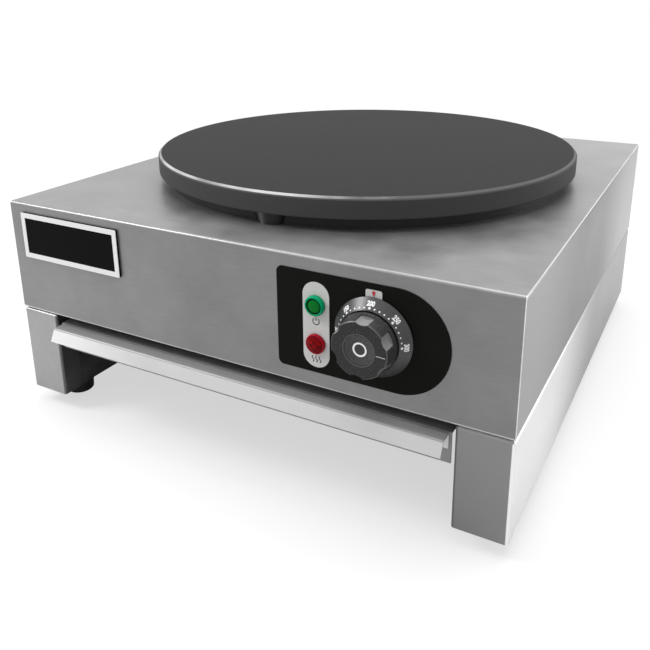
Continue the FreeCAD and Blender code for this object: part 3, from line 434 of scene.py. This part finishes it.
plateLow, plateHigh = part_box("griddle_plate")
plateMiddle = {
    "place": ((plateLow[0] + plateHigh[0]) / 2, (plateLow[1] + plateHigh[1]) / 2, 0),
    "across": (1, 1, 0),
}

griddleLook = {
    "tone": grey(0.017),
    "sideTone": grey(0.062),  # painted light: the bevel and side are paler than the flat top
    "speck": grey(0.045),
    "bevelHighlight": grey(0.60),  # painted highlight in patches along the top bevel
    "rough": 0.6,
    "highlightRough": 0.30,
    "specular": 0.1,
    "bevel": 2.5 * mm,
    "edgeFade": 0.4 * mm,
    "highlightDown": 1.3 * mm,  # how far down the bevel the painted highlight reaches
    "highlightFade": 0.5 * mm,
    "patchScale": 7,
    "patchDetail": 5,
    "patchSpan": (0.42, 0.58),  # of the noise, from least to full painted highlight
    "leastHighlight": 0.12,
}


def ironPlate(look):
    material, tree, shader = newMaterial("griddleIron", Specular_IOR_Level=look["specular"])
    marks = speckMarks(tree, 700, 0.5, 0.25)
    flatRadius = (plateHigh[0] - plateLow[0]) / 2 - look["bevel"]
    edge = ringedMask(tree, flatRadius - look["edgeFade"], flatRadius, plateMiddle)
    highlightTo = plateHigh[2] - look["highlightDown"]
    top = placed(tree, (0, 0, 1), highlightTo - look["highlightFade"], highlightTo)
    patches = tree.nodes.new("ShaderNodeTexNoise")
    patches.inputs["Scale"].default_value = look["patchScale"]
    patches.inputs["Detail"].default_value = look["patchDetail"]
    where = tree.nodes.new("ShaderNodeTexCoord")
    tree.links.new(where.outputs["Object"], patches.inputs["Vector"])
    patchy = ranged(tree, patches.outputs["Fac"], look["leastHighlight"], 1.0, *look["patchSpan"])
    # painted highlight in patches along the top bevel, laid over the painted light of the bevel and side
    bevelHighlightMask = product(tree, edge, top, patchy)
    plain = mixColours(tree, marks.outputs["Speck"], look["tone"], look["speck"])
    colour = laidOver(tree, laidOver(tree, plain, look["sideTone"], edge), look["bevelHighlight"], bevelHighlightMask)
    rough = ranged(tree, bevelHighlightMask, look["rough"], look["highlightRough"], 0, 1)
    tree.links.new(colour, shader.inputs["Base Color"])
    tree.links.new(rough, shader.inputs["Roughness"])
    tree.links.new(marks.outputs["Normal"], shader.inputs["Normal"])
    return material


grainAlongX = (60, 900, 900)
grainAlongY = (900, 60, 900)
toFront, toBack = (0, -1, 0), (0, 1, 0)
toRight, toLeft = (1, 0, 0), (-1, 0, 0)
toTop, toBottom = (0, 0, 1), (0, 0, -1)
toBackLeft, toBackRight = (-0.50, 0.87, 0), (0.87, 0.50, 0)
foldAcross = (math.sqrt(0.5), -math.sqrt(0.5), 0)  # towards the front right corner
# The zones below are painted light, shade and highlights on one steel sheet
steelTop = steelSheet("steelFrontAndDeck", grainAlongX, 0.27, [
    (0.31, toLeft, -0.05, 0.22),  # painted light: the front is a little paler to the left
    (0.36, toTop, 0.1925, 0.1945),  # the deck, painted paler as lit from above
    (0.27, toBackLeft, -0.02, 0.20),  # painted shade: the deck is darker at the back left
    (0.43, toBackRight, 0.12, 0.26),  # and painted light: paler on the right
    (0.44, toBack, 0.2500, 0.2510),  # the rear wall, painted paler as lit
    (0.95, toBottom, -0.0972, -0.0966),  # painted highlight along the bottom fold
    (0.95, toRight, 0.2244, 0.2248),  # painted highlight on the cut ends of the sheet
    (0.95, toLeft, 0.2244, 0.2248),
], metal=0.7, contrast=0.20, cloudScale=20)
# painted light: the side covers are paler towards the back, and paler again towards the front, than in the
# middle
steelSide = steelSheet("steelSideCover", grainAlongY, 0.25, [
    (0.52, toBack, 0.0, 0.22),
    (0.41, toFront, 0.04, 0.22),
], contrast=0.12)
rightLegSteel = steelSheet("rightLegSheet", grainAlongY, 0.41, [
    # painted reflection: the sheet turns white towards the front
    (1.00, toFront, -0.06, 0.17),
    (0.26, toFront, 0.2365, 0.2380),  # the front face, painted darker as it is in shade
    (0.16, toLeft, -0.1875, -0.1860),  # painted shade on the inner face
    (0.95, foldAcross, 0.3264, 0.3268),  # painted highlight along the front fold
], contrast=0.07)
leftLegSteel = steelSheet("leftLegSheet", grainAlongY, 0.60, [
    (0.44, toFront, 0.2365, 0.2380),  # the front face, painted darker as it is in shade
    (0.15, toRight, -0.1875, -0.1860),  # painted shade on the inner face
], contrast=0.20, cloudScale=30)
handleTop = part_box("tray_handle")[1][2]
handleSteel = steelSheet("handleSheet", grainAlongX, 0.66, [
    (0.95, toLeft, 0.06, 0.20),  # painted light: the lip is paler to the left
    (0.36, toTop, handleTop - 1.4 * mm, handleTop - 1.0 * mm),  # painted shade on the level strip
    (0.95, toBack, -0.2372, -0.2367),  # painted highlight along its back edge
], metal=0.25, rough=(0.4, 0.5))
innerSteel = steelSheet("dullInnerSheet", grainAlongY, 0.14, rough=(0.5, 0.65), contrast=0.55, cloudScale=45)
traySteel = steelSheet("traySheet", grainAlongX, 0.30, metal=0.6, rough=(0.45, 0.55))
zinc = steelSheet("zincPlate", (300, 300, 300), (0.62, 0.61, 0.56, 1), rough=(0.25, 0.4), grain=0.2)
copper = steelSheet("drawnCopper", (300, 300, 300), (0.70, 0.38, 0.24, 1), rough=(0.3, 0.4), grain=0.2)
brass = steelSheet("turnedBrass", (300, 300, 300), (0.70, 0.52, 0.22, 1), rough=(0.3, 0.4), grain=0.2)
iron = ironPlate(griddleLook)
enamel = speckled("blackEnamel", grey(0.012), grey(0.03), 0.5, specular=0.3)
bossBlack = speckled("bossEnamel", grey(0.012), grey(0.03), 0.3)
rubber = speckled("footRubber", (0.010, 0.010, 0.010, 1), (0.03, 0.03, 0.03, 1), 0.6, 500, 0.4, 0.4)
sheath = speckled("elementSheath", (0.09, 0.08, 0.07, 1), (0.15, 0.13, 0.11, 1), 0.6, 400, 0.5)
ceramic = speckled("ceramic", (0.80, 0.78, 0.72, 1), (0.70, 0.68, 0.62, 1), 0.25)
fibre = speckled("mineralFibre", (0.66, 0.62, 0.54, 1), (0.45, 0.42, 0.36, 1), 0.95, 500, 0.8, 0.8, 0.5 * mm)
thermoset = speckled("thermoset", (0.03, 0.03, 0.03, 1), (0.06, 0.06, 0.06, 1), 0.4)
skirtSatin = speckled("dialSatin", grey(0.023), grey(0.11), 0.34, 1300, 0.6, 0.4, specular=0.7)
panelFilm = speckled("panelFilm", (0.007, 0.007, 0.006, 1), (0.035, 0.035, 0.030, 1), 0.5, 1400, 0.4, 0.5,
                     0.05 * mm, specular=0.04)
labelFilm = speckled("labelFilm", (0.66, 0.66, 0.65, 1), (0.60, 0.60, 0.59, 1), 0.45, specular=0.3)
markRed = speckled("markRed", (0.55, 0.02, 0.05, 1), (0.60, 0.05, 0.08, 1), 0.4)
plateBlack = speckled("plateBlack", grey(0.004), grey(0.008), 0.45, 900, 0.2, 0.05, specular=0.03)
plateWhite = speckled("plateWhite", grey(0.94), grey(0.88), 0.3)
nylon = speckled("blackNylon", (0.015, 0.015, 0.015, 1), (0.03, 0.03, 0.03, 1), 0.45)
sleeve = speckled("wireSleeve", (0.30, 0.04, 0.03, 1), (0.36, 0.08, 0.06, 1), 0.5)
scaleWhite = speckled("scalePrint", grey(0.95), grey(0.88), 0.5)
skirtLow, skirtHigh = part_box("dial_skirt")
dialX = (skirtLow[0] + skirtHigh[0]) / 2
dialZ = (skirtLow[2] + skirtHigh[2]) / 2
dialMiddle = {"place": (dialX, 0, dialZ), "across": (1, 0, 1)}

knobLook = {
    "face": grey(0.016),
    "rim": grey(0.11),  # painted highlight on the edges of the face and of its dish
    # painted light: the sides are greyer than the front
    "lands": grey(0.050),
    # painted light: the scoops are paler still
    "scoops": grey(0.30),
    "speck": grey(0.22),
    "rough": 0.30,
    "specular": 0.28,
    "scoopEdge": 20.2 * mm,  # the scoops lie within this distance of the axis
    "dishEdge": 12.0 * mm,
    "dishRim": (10.9 * mm, 11.4 * mm),  # where the painted highlight on the rim of the dish comes in
    "faceRim": (19.7 * mm, 20.1 * mm),
    "fade": 0.2 * mm,
    "faceDepth": 0.6 * mm,  # from the front of the raised pointer, which stands 0.4 mm off the face
    "faceFade": 0.3 * mm,
}


def knobPlastic(look):
    # Dark front, with painted light: greyer sides and scoops that are paler still, and painted highlights on
    # the rims
    material, tree, shader = newMaterial("knobPlastic", Roughness=look["rough"],
                                         Specular_IOR_Level=look["specular"])
    marks = speckMarks(tree, 900, 0.4, 0.4)
    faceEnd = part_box("knob_body")[0][1] + look["faceDepth"]
    dishEdge, scoopEdge = look["dishEdge"], look["scoopEdge"]
    behind = placed(tree, toBack, faceEnd, faceEnd + look["faceFade"])
    inside = ringedMask(tree, scoopEdge + look["fade"], scoopEdge, dialMiddle)
    outside = ringedMask(tree, dishEdge, dishEdge + look["fade"], dialMiddle)
    dish = ringedMask(tree, *look["dishRim"], dialMiddle)
    flat = ringedMask(tree, look["dishRim"][1], dishEdge, dialMiddle)
    edge = ringedMask(tree, *look["faceRim"], dialMiddle)
    layers = [
        (look["rim"], dish),
        (look["face"], flat),
        (look["rim"], edge),
        (look["lands"], behind),
        (look["scoops"], product(tree, outside, behind, inside)),
        (look["speck"], marks.outputs["Speck"]),
    ]
    colour = evenColour(tree, look["face"])
    for tone, factor in layers:
        colour = laidOver(tree, colour, tone, factor)
    tree.links.new(colour, shader.inputs["Base Color"])
    tree.links.new(marks.outputs["Normal"], shader.inputs["Normal"])
    return material


knobGloss = knobPlastic(knobLook)


capLook = {
    "well": (3.75 * mm, 3.9 * mm),  # where the black middle ends and the ring begins
    "middleTone": grey(0.01),
    "ringTone": grey(0.75),
    "ringMetal": 0.85,
    "rough": 0.22,
}


def silverCap(look):
    # A bright ring round a black middle
    material, tree, shader = newMaterial("capSilver", Roughness=look["rough"])
    ring = ringedMask(tree, *look["well"], dialMiddle)
    colour = mixColours(tree, ring, look["middleTone"], look["ringTone"])
    tree.links.new(colour, shader.inputs["Base Color"])
    tree.links.new(ranged(tree, ring, 0.0, look["ringMetal"], 0, 1), shader.inputs["Metallic"])
    return material


capSilver = silverCap(capLook)
# painted highlight for the knob's raised pointer
pointerHighlightGrey = speckled("pointerHighlight", grey(0.42), grey(0.50), 0.4)
signInk = speckled("signInk", (0.025, 0.025, 0.025, 1), (0.05, 0.05, 0.05, 1), 0.5)


lensFinish = {
    "rough": 0.2,
    "specular": 0.07,
    "tileShade": 0.45,  # the darker tiles, as a share of the paler ones
    "fadeIn": 0.3 * mm,
    "fadeOut": 0.1 * mm,
}
greenTones = {
    "inner": (0.0, 0.25, 0.03, 1),
    # painted shade in the groove round the tiled middle, then a painted highlight on the rim
    "rings": [(4.9 * mm, (0.0, 0.015, 0.006, 1)), (5.95 * mm, (0.0, 0.36, 0.15, 1))],
    "grid": 900,
}
redTones = {
    "inner": (0.28, 0.0, 0.002, 1),
    # painted shade in the groove round the tiled middle, then a painted highlight on the rim
    "rings": [(6.0 * mm, (0.10, 0.0, 0.004, 1)), (6.6 * mm, (0.42, 0.006, 0.02, 1))],
    "grid": 350,
}


def lensPlastic(name, node, tones, look):
    # Coloured plastic with a tiled middle, painted shade in the groove round it and a painted highlight on the
    # rim
    material, tree, shader = newMaterial(name, Roughness=look["rough"], Specular_IOR_Level=look["specular"])
    low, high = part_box(node)
    middle = {"place": ((low[0] + high[0]) / 2, 0, (low[2] + high[2]) / 2), "across": (1, 0, 1)}
    where = tree.nodes.new("ShaderNodeTexCoord")
    tile = tree.nodes.new("ShaderNodeTexChecker")
    tile.inputs["Scale"].default_value = tones["grid"]
    tile.inputs["Color1"].default_value = tones["inner"]
    tile.inputs["Color2"].default_value = [look["tileShade"] * value for value in tones["inner"][:3]] + [1]
    tree.links.new(where.outputs["Object"], tile.inputs["Vector"])
    colour = tile.outputs["Color"]
    for radius, tone in tones["rings"]:
        ring = ringedMask(tree, radius - look["fadeIn"], radius + look["fadeOut"], middle)
        colour = laidOver(tree, colour, tone, ring)
    tree.links.new(colour, shader.inputs["Base Color"])
    return material


greenPlastic = lensPlastic("greenLens", "power_lamp_lens", greenTones, lensFinish)
redPlastic = lensPlastic("redLens", "heat_lamp_lens", redTones, lensFinish)
print("materials made:", len(bpy.data.materials))


# Finishes of the pieces that keep their shape

finishes = {
    steelTop: ["top_casing"],
    steelSide: ["left_side_cover", "right_side_cover"],
    leftLegSteel: ["left_leg"],
    rightLegSteel: ["right_leg"],
    handleSteel: ["tray_handle"],
    innerSteel: ["base_plate", "left_leg_inner_plate", "right_leg_inner_plate", "left_tray_rail",
                 "right_tray_rail", "heater_pan"],
    traySteel: ["tray_pan"],
    zinc: ["foot_screws", "foot_nuts", "leg_washers", "leg_screws", "leg_nuts", "base_screws", "rail_rivets",
           "handle_rivets", "plate_studs", "plate_nuts", "element_clamp", "clamp_stud", "clamp_nut",
           "limit_cutout", "thermostat_screws", "dial_spindle"],
    copper: ["sensor_bulb", "capillary_tube"],
    brass: ["earth_stud"],
    iron: ["griddle_plate"],
    bossBlack: ["plate_bosses"],
    enamel: ["heat_guard_ring"],
    rubber: ["front_left_foot", "front_right_foot", "rear_left_foot", "rear_right_foot"],
    sheath: ["heating_element"],
    ceramic: ["terminal_insulators"],
    fibre: ["insulation_disc"],
    thermoset: ["thermostat_body", "lamp_holders", "terminal_block"],
    skirtSatin: ["dial_skirt"],
    knobGloss: ["knob_body"],
    capSilver: ["knob_cap"],
    panelFilm: ["control_overlay"],
    labelFilm: ["indicator_label", "pointer_tab"],
    markRed: ["pointer_mark"],
    plateBlack: ["nameplate_backing"],
    plateWhite: ["nameplate_border"],
    nylon: ["cable_gland", "gland_locknut"],
    sleeve: ["wiring"],
}

for material, names in finishes.items():
    for name in names:
        piece = nodes[name].data
        piece.materials.clear()
        piece.materials.append(material)
print("finishes given to the CAD pieces")


# Pieces made here

def keepPiece(name, sheet, material, body):
    mesh = bpy.data.meshes.new(name)
    sheet.to_mesh(mesh)
    sheet.free()
    mesh.materials.append(material)
    piece = bpy.data.objects.new(name, mesh)
    bpy.context.scene.collection.objects.link(piece)
    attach(piece, body)
    return piece


def addFlatCurve(sheet, curve):
    # Adds a text or a line to a bmesh, as closed faces
    piece = bpy.data.objects.new(curve.name, curve)
    bpy.context.scene.collection.objects.link(piece)
    shape = bpy.data.meshes.new_from_object(piece.evaluated_get(bpy.context.evaluated_depsgraph_get()))
    before = set(sheet.verts)
    sheet.from_mesh(shape)
    bpy.data.objects.remove(piece)
    bpy.data.curves.remove(curve)
    bpy.data.meshes.remove(shape)
    return [vert for vert in sheet.verts if vert not in before]


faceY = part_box("top_casing")[0][1]

scaleLook = {
    "innerRadius": 22.4 * mm,  # where the cone of the skirt starts
    "innerRise": 8.8 * mm,  # how far that edge stands out from the front face
    "dotUp": 1.9 * mm,  # along the slope, outward
    "smallDot": 0.58 * mm,
    "bigDot": 0.90 * mm,
    "numberUp": 3.6 * mm,
    "numberSize": 5.0 * mm,
    "numberNarrow": 0.74,
    "numberBold": 0.25 * mm,
    "thickness": 0.05 * mm,
    "degreesPerStep": 9.0,  # of the dial, for ten degrees Celsius
    "topMark": 200,
    "firstMark": 50,
    "lastMark": 300,
}


def onSkirt(spot, angle, look):
    # Lays a flat point (along, up, out) on the skirt's cone, at an angle clockwise from the top
    slope = math.sqrt(0.5)
    radius = look["innerRadius"] + (spot.y + spot.z) * slope
    rise = look["innerRise"] + (spot.z - spot.y) * slope
    turn = angle + spot.x / radius
    return Vector((dialX + radius * math.sin(turn), faceY - rise, dialZ + radius * math.cos(turn)))


def makeDialScale(look):
    sheet = bmesh.new()
    for mark in range(look["firstMark"], look["lastMark"] + 1, 10):
        angle = math.radians((mark - look["topMark"]) / 10 * look["degreesPerStep"])
        big = mark % 50 == 0
        radius = look["bigDot"] if big else look["smallDot"]
        dot = bmesh.ops.create_cone(sheet, cap_ends=True, segments=20, radius1=radius, radius2=radius,
                                    depth=look["thickness"])["verts"]
        bmesh.ops.translate(sheet, verts=dot, vec=(0, look["dotUp"], look["thickness"] / 4))
        verts = list(dot)
        if big:
            curve = bpy.data.curves.new("number", "FONT")
            curve.body = str(mark)
            curve.size = look["numberSize"]
            curve.offset = look["numberBold"]
            curve.align_x = "CENTER"
            curve.extrude = look["thickness"] / 2
            curve.resolution_u = 4
            number = addFlatCurve(sheet, curve)
            bmesh.ops.scale(sheet, verts=number, vec=(look["numberNarrow"], 1, 1))
            bmesh.ops.translate(sheet, verts=number, vec=(0, look["numberUp"], look["thickness"] / 4))
            verts += number
        for vert in verts:
            vert.co = onSkirt(vert.co, angle, look)
    bmesh.ops.remove_doubles(sheet, verts=sheet.verts, dist=0.001 * mm)
    bmesh.ops.recalc_face_normals(sheet, faces=sheet.faces)
    keepPiece("dialScale", sheet, scaleWhite, "dial")


makeDialScale(scaleLook)

# A painted highlight: a pale strip along the raised pointer on the knob's face
pointerHighlight = {
    "angle": 93.0,  # clockwise from the top
    "inner": 12.6 * mm,
    "outer": 19.2 * mm,
    "width": 0.8 * mm,
    "thickness": 0.06 * mm,
    "sunk": 0.4,  # of the thickness, from the pointer's front to the middle of the highlight strip
    "bevel": 0.02 * mm,
}


def makeKnobMark(look):
    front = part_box("knob_body")[0][1]
    sheet = bmesh.new()
    bar = bmesh.ops.create_cube(sheet, size=1.0)["verts"]
    bmesh.ops.scale(sheet, verts=bar, vec=(look["width"], look["thickness"], look["outer"] - look["inner"]))
    bmesh.ops.bevel(sheet, geom=sheet.edges[:], offset=look["bevel"], affect="EDGES", segments=1, profile=0.5,
                    material=-1)
    middle = (look["outer"] + look["inner"]) / 2
    bmesh.ops.translate(sheet, verts=sheet.verts, vec=(0, 0, middle))
    turn = Matrix.Rotation(math.radians(look["angle"]), 4, "Y")
    bmesh.ops.transform(sheet, matrix=turn, verts=sheet.verts)
    bmesh.ops.translate(sheet, verts=sheet.verts, vec=(dialX, front + look["thickness"] * look["sunk"], dialZ))
    keepPiece("pointerHighlight", sheet, pointerHighlightGrey, "dial")


makeKnobMark(pointerHighlight)
print("dial scale and mark made")

# Indicator lenses: outlines as (radius, distance out from the front face) in millimetres
greenLens = {
    "outline": [(0, 0.9), (7.5, 0.9), (7.5, 3.2), (7.35, 3.9), (6.9, 4.45), (6.3, 4.6), (5.85, 4.3), (5.6, 3.5),
                (5.35, 3.1), (5.1, 3.3), (4.9, 3.75), (4.5, 4.0), (3.0, 4.25), (1.5, 4.37), (0, 4.4)],
    "steps": 56,
}
redLens = {
    "outline": [(0, 0.9), (7.5, 0.9), (7.5, 2.6), (7.4, 3.1), (7.1, 3.45), (6.7, 3.5), (6.45, 3.35), (6.2, 3.4),
                (5.6, 3.85), (4.6, 4.3), (3.2, 4.68), (1.6, 4.92), (0, 5.0)],
    "steps": 56,
}


def makeLens(name, node, look, material):
    low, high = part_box(node)
    middle = Vector(((low[0] + high[0]) / 2, faceY, (low[2] + high[2]) / 2))
    sheet = bmesh.new()
    verts = [sheet.verts.new((radius * mm, -rise * mm, 0)) for radius, rise in look["outline"]]
    edges = [sheet.edges.new(pair) for pair in zip(verts, verts[1:])]
    bmesh.ops.spin(sheet, geom=verts + edges, cent=(0, 0, 0), axis=(0, 1, 0), dvec=(0, 0, 0), angle=math.tau,
                   steps=look["steps"], use_merge=True)
    bmesh.ops.remove_doubles(sheet, verts=sheet.verts, dist=0.001 * mm)
    bmesh.ops.recalc_face_normals(sheet, faces=sheet.faces)
    bmesh.ops.translate(sheet, verts=sheet.verts, vec=middle)
    for face in sheet.faces:
        face.smooth = True
    piece = keepPiece(name, sheet, material, "chassis")
    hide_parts(node)


makeLens("greenLens", "power_lamp_lens", greenLens, greenPlastic)
makeLens("redLens", "heat_lamp_lens", redLens, redPlastic)
print("lenses made")

# Plain signs under the lamps: an open ring with a bar, and three waves
signLook = {
    "stroke": 0.42 * mm,
    "flatness": 0.15,
    "powerDrop": 12.4 * mm,  # below the green lens
    "heatDrop": 12.3 * mm,  # below the red lens
    "ringRadius": 2.6 * mm,
    "gap": 36.0,  # degrees each side of the top
    "ringSteps": 12,
    "barRises": (0.4 * mm, 1.8 * mm, 3.2 * mm),
    "waveHeight": 4.6 * mm,
    "waveSwing": 0.8 * mm,
    "wavePitch": 2.8 * mm,
    "waveSteps": 8,
}


def inkLine(sheet, points, look):
    curve = bpy.data.curves.new("ink", "CURVE")
    curve.dimensions = "3D"
    curve.bevel_depth = look["stroke"]
    curve.bevel_resolution = 2
    curve.use_fill_caps = True
    line = curve.splines.new("NURBS")
    line.points.add(len(points) - 1)
    for spot, (x, z) in zip(line.points, points):
        spot.co = (x, 0, z, 1)
    line.order_u = 3
    line.use_endpoint_u = True
    return addFlatCurve(sheet, curve)


def makeSigns(look):
    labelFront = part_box("indicator_label")[0][1]
    sheet = bmesh.new()

    low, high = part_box("power_lamp_lens")
    x = (low[0] + high[0]) / 2
    z = (low[2] + high[2]) / 2 - look["powerDrop"]
    steps = look["ringSteps"]
    angles = [math.radians(look["gap"] + (360 - 2 * look["gap"]) * i / steps) for i in range(steps + 1)]
    ring = [(x + look["ringRadius"] * math.sin(a), z + look["ringRadius"] * math.cos(a)) for a in angles]
    inkLine(sheet, ring, look)
    inkLine(sheet, [(x, z + rise) for rise in look["barRises"]], look)

    low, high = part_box("heat_lamp_lens")
    x = (low[0] + high[0]) / 2
    z = (low[2] + high[2]) / 2 - look["heatDrop"]
    for column in (-1, 0, 1):
        wave = []
        for i in range(look["waveSteps"] + 1):
            share = i / look["waveSteps"]
            rise = (share - 0.5) * look["waveHeight"]
            swing = look["waveSwing"] * math.sin(math.tau * share)
            wave.append((x + column * look["wavePitch"] + swing, z + rise))
        inkLine(sheet, wave, look)

    bmesh.ops.scale(sheet, verts=sheet.verts, vec=(1, look["flatness"], 1))
    bmesh.ops.translate(sheet, verts=sheet.verts, vec=(0, labelFront, 0))
    bmesh.ops.remove_doubles(sheet, verts=sheet.verts, dist=0.001 * mm)
    bmesh.ops.recalc_face_normals(sheet, faces=sheet.faces)
    keepPiece("labelSigns", sheet, signInk, "chassis")


makeSigns(signLook)
print("signs made")
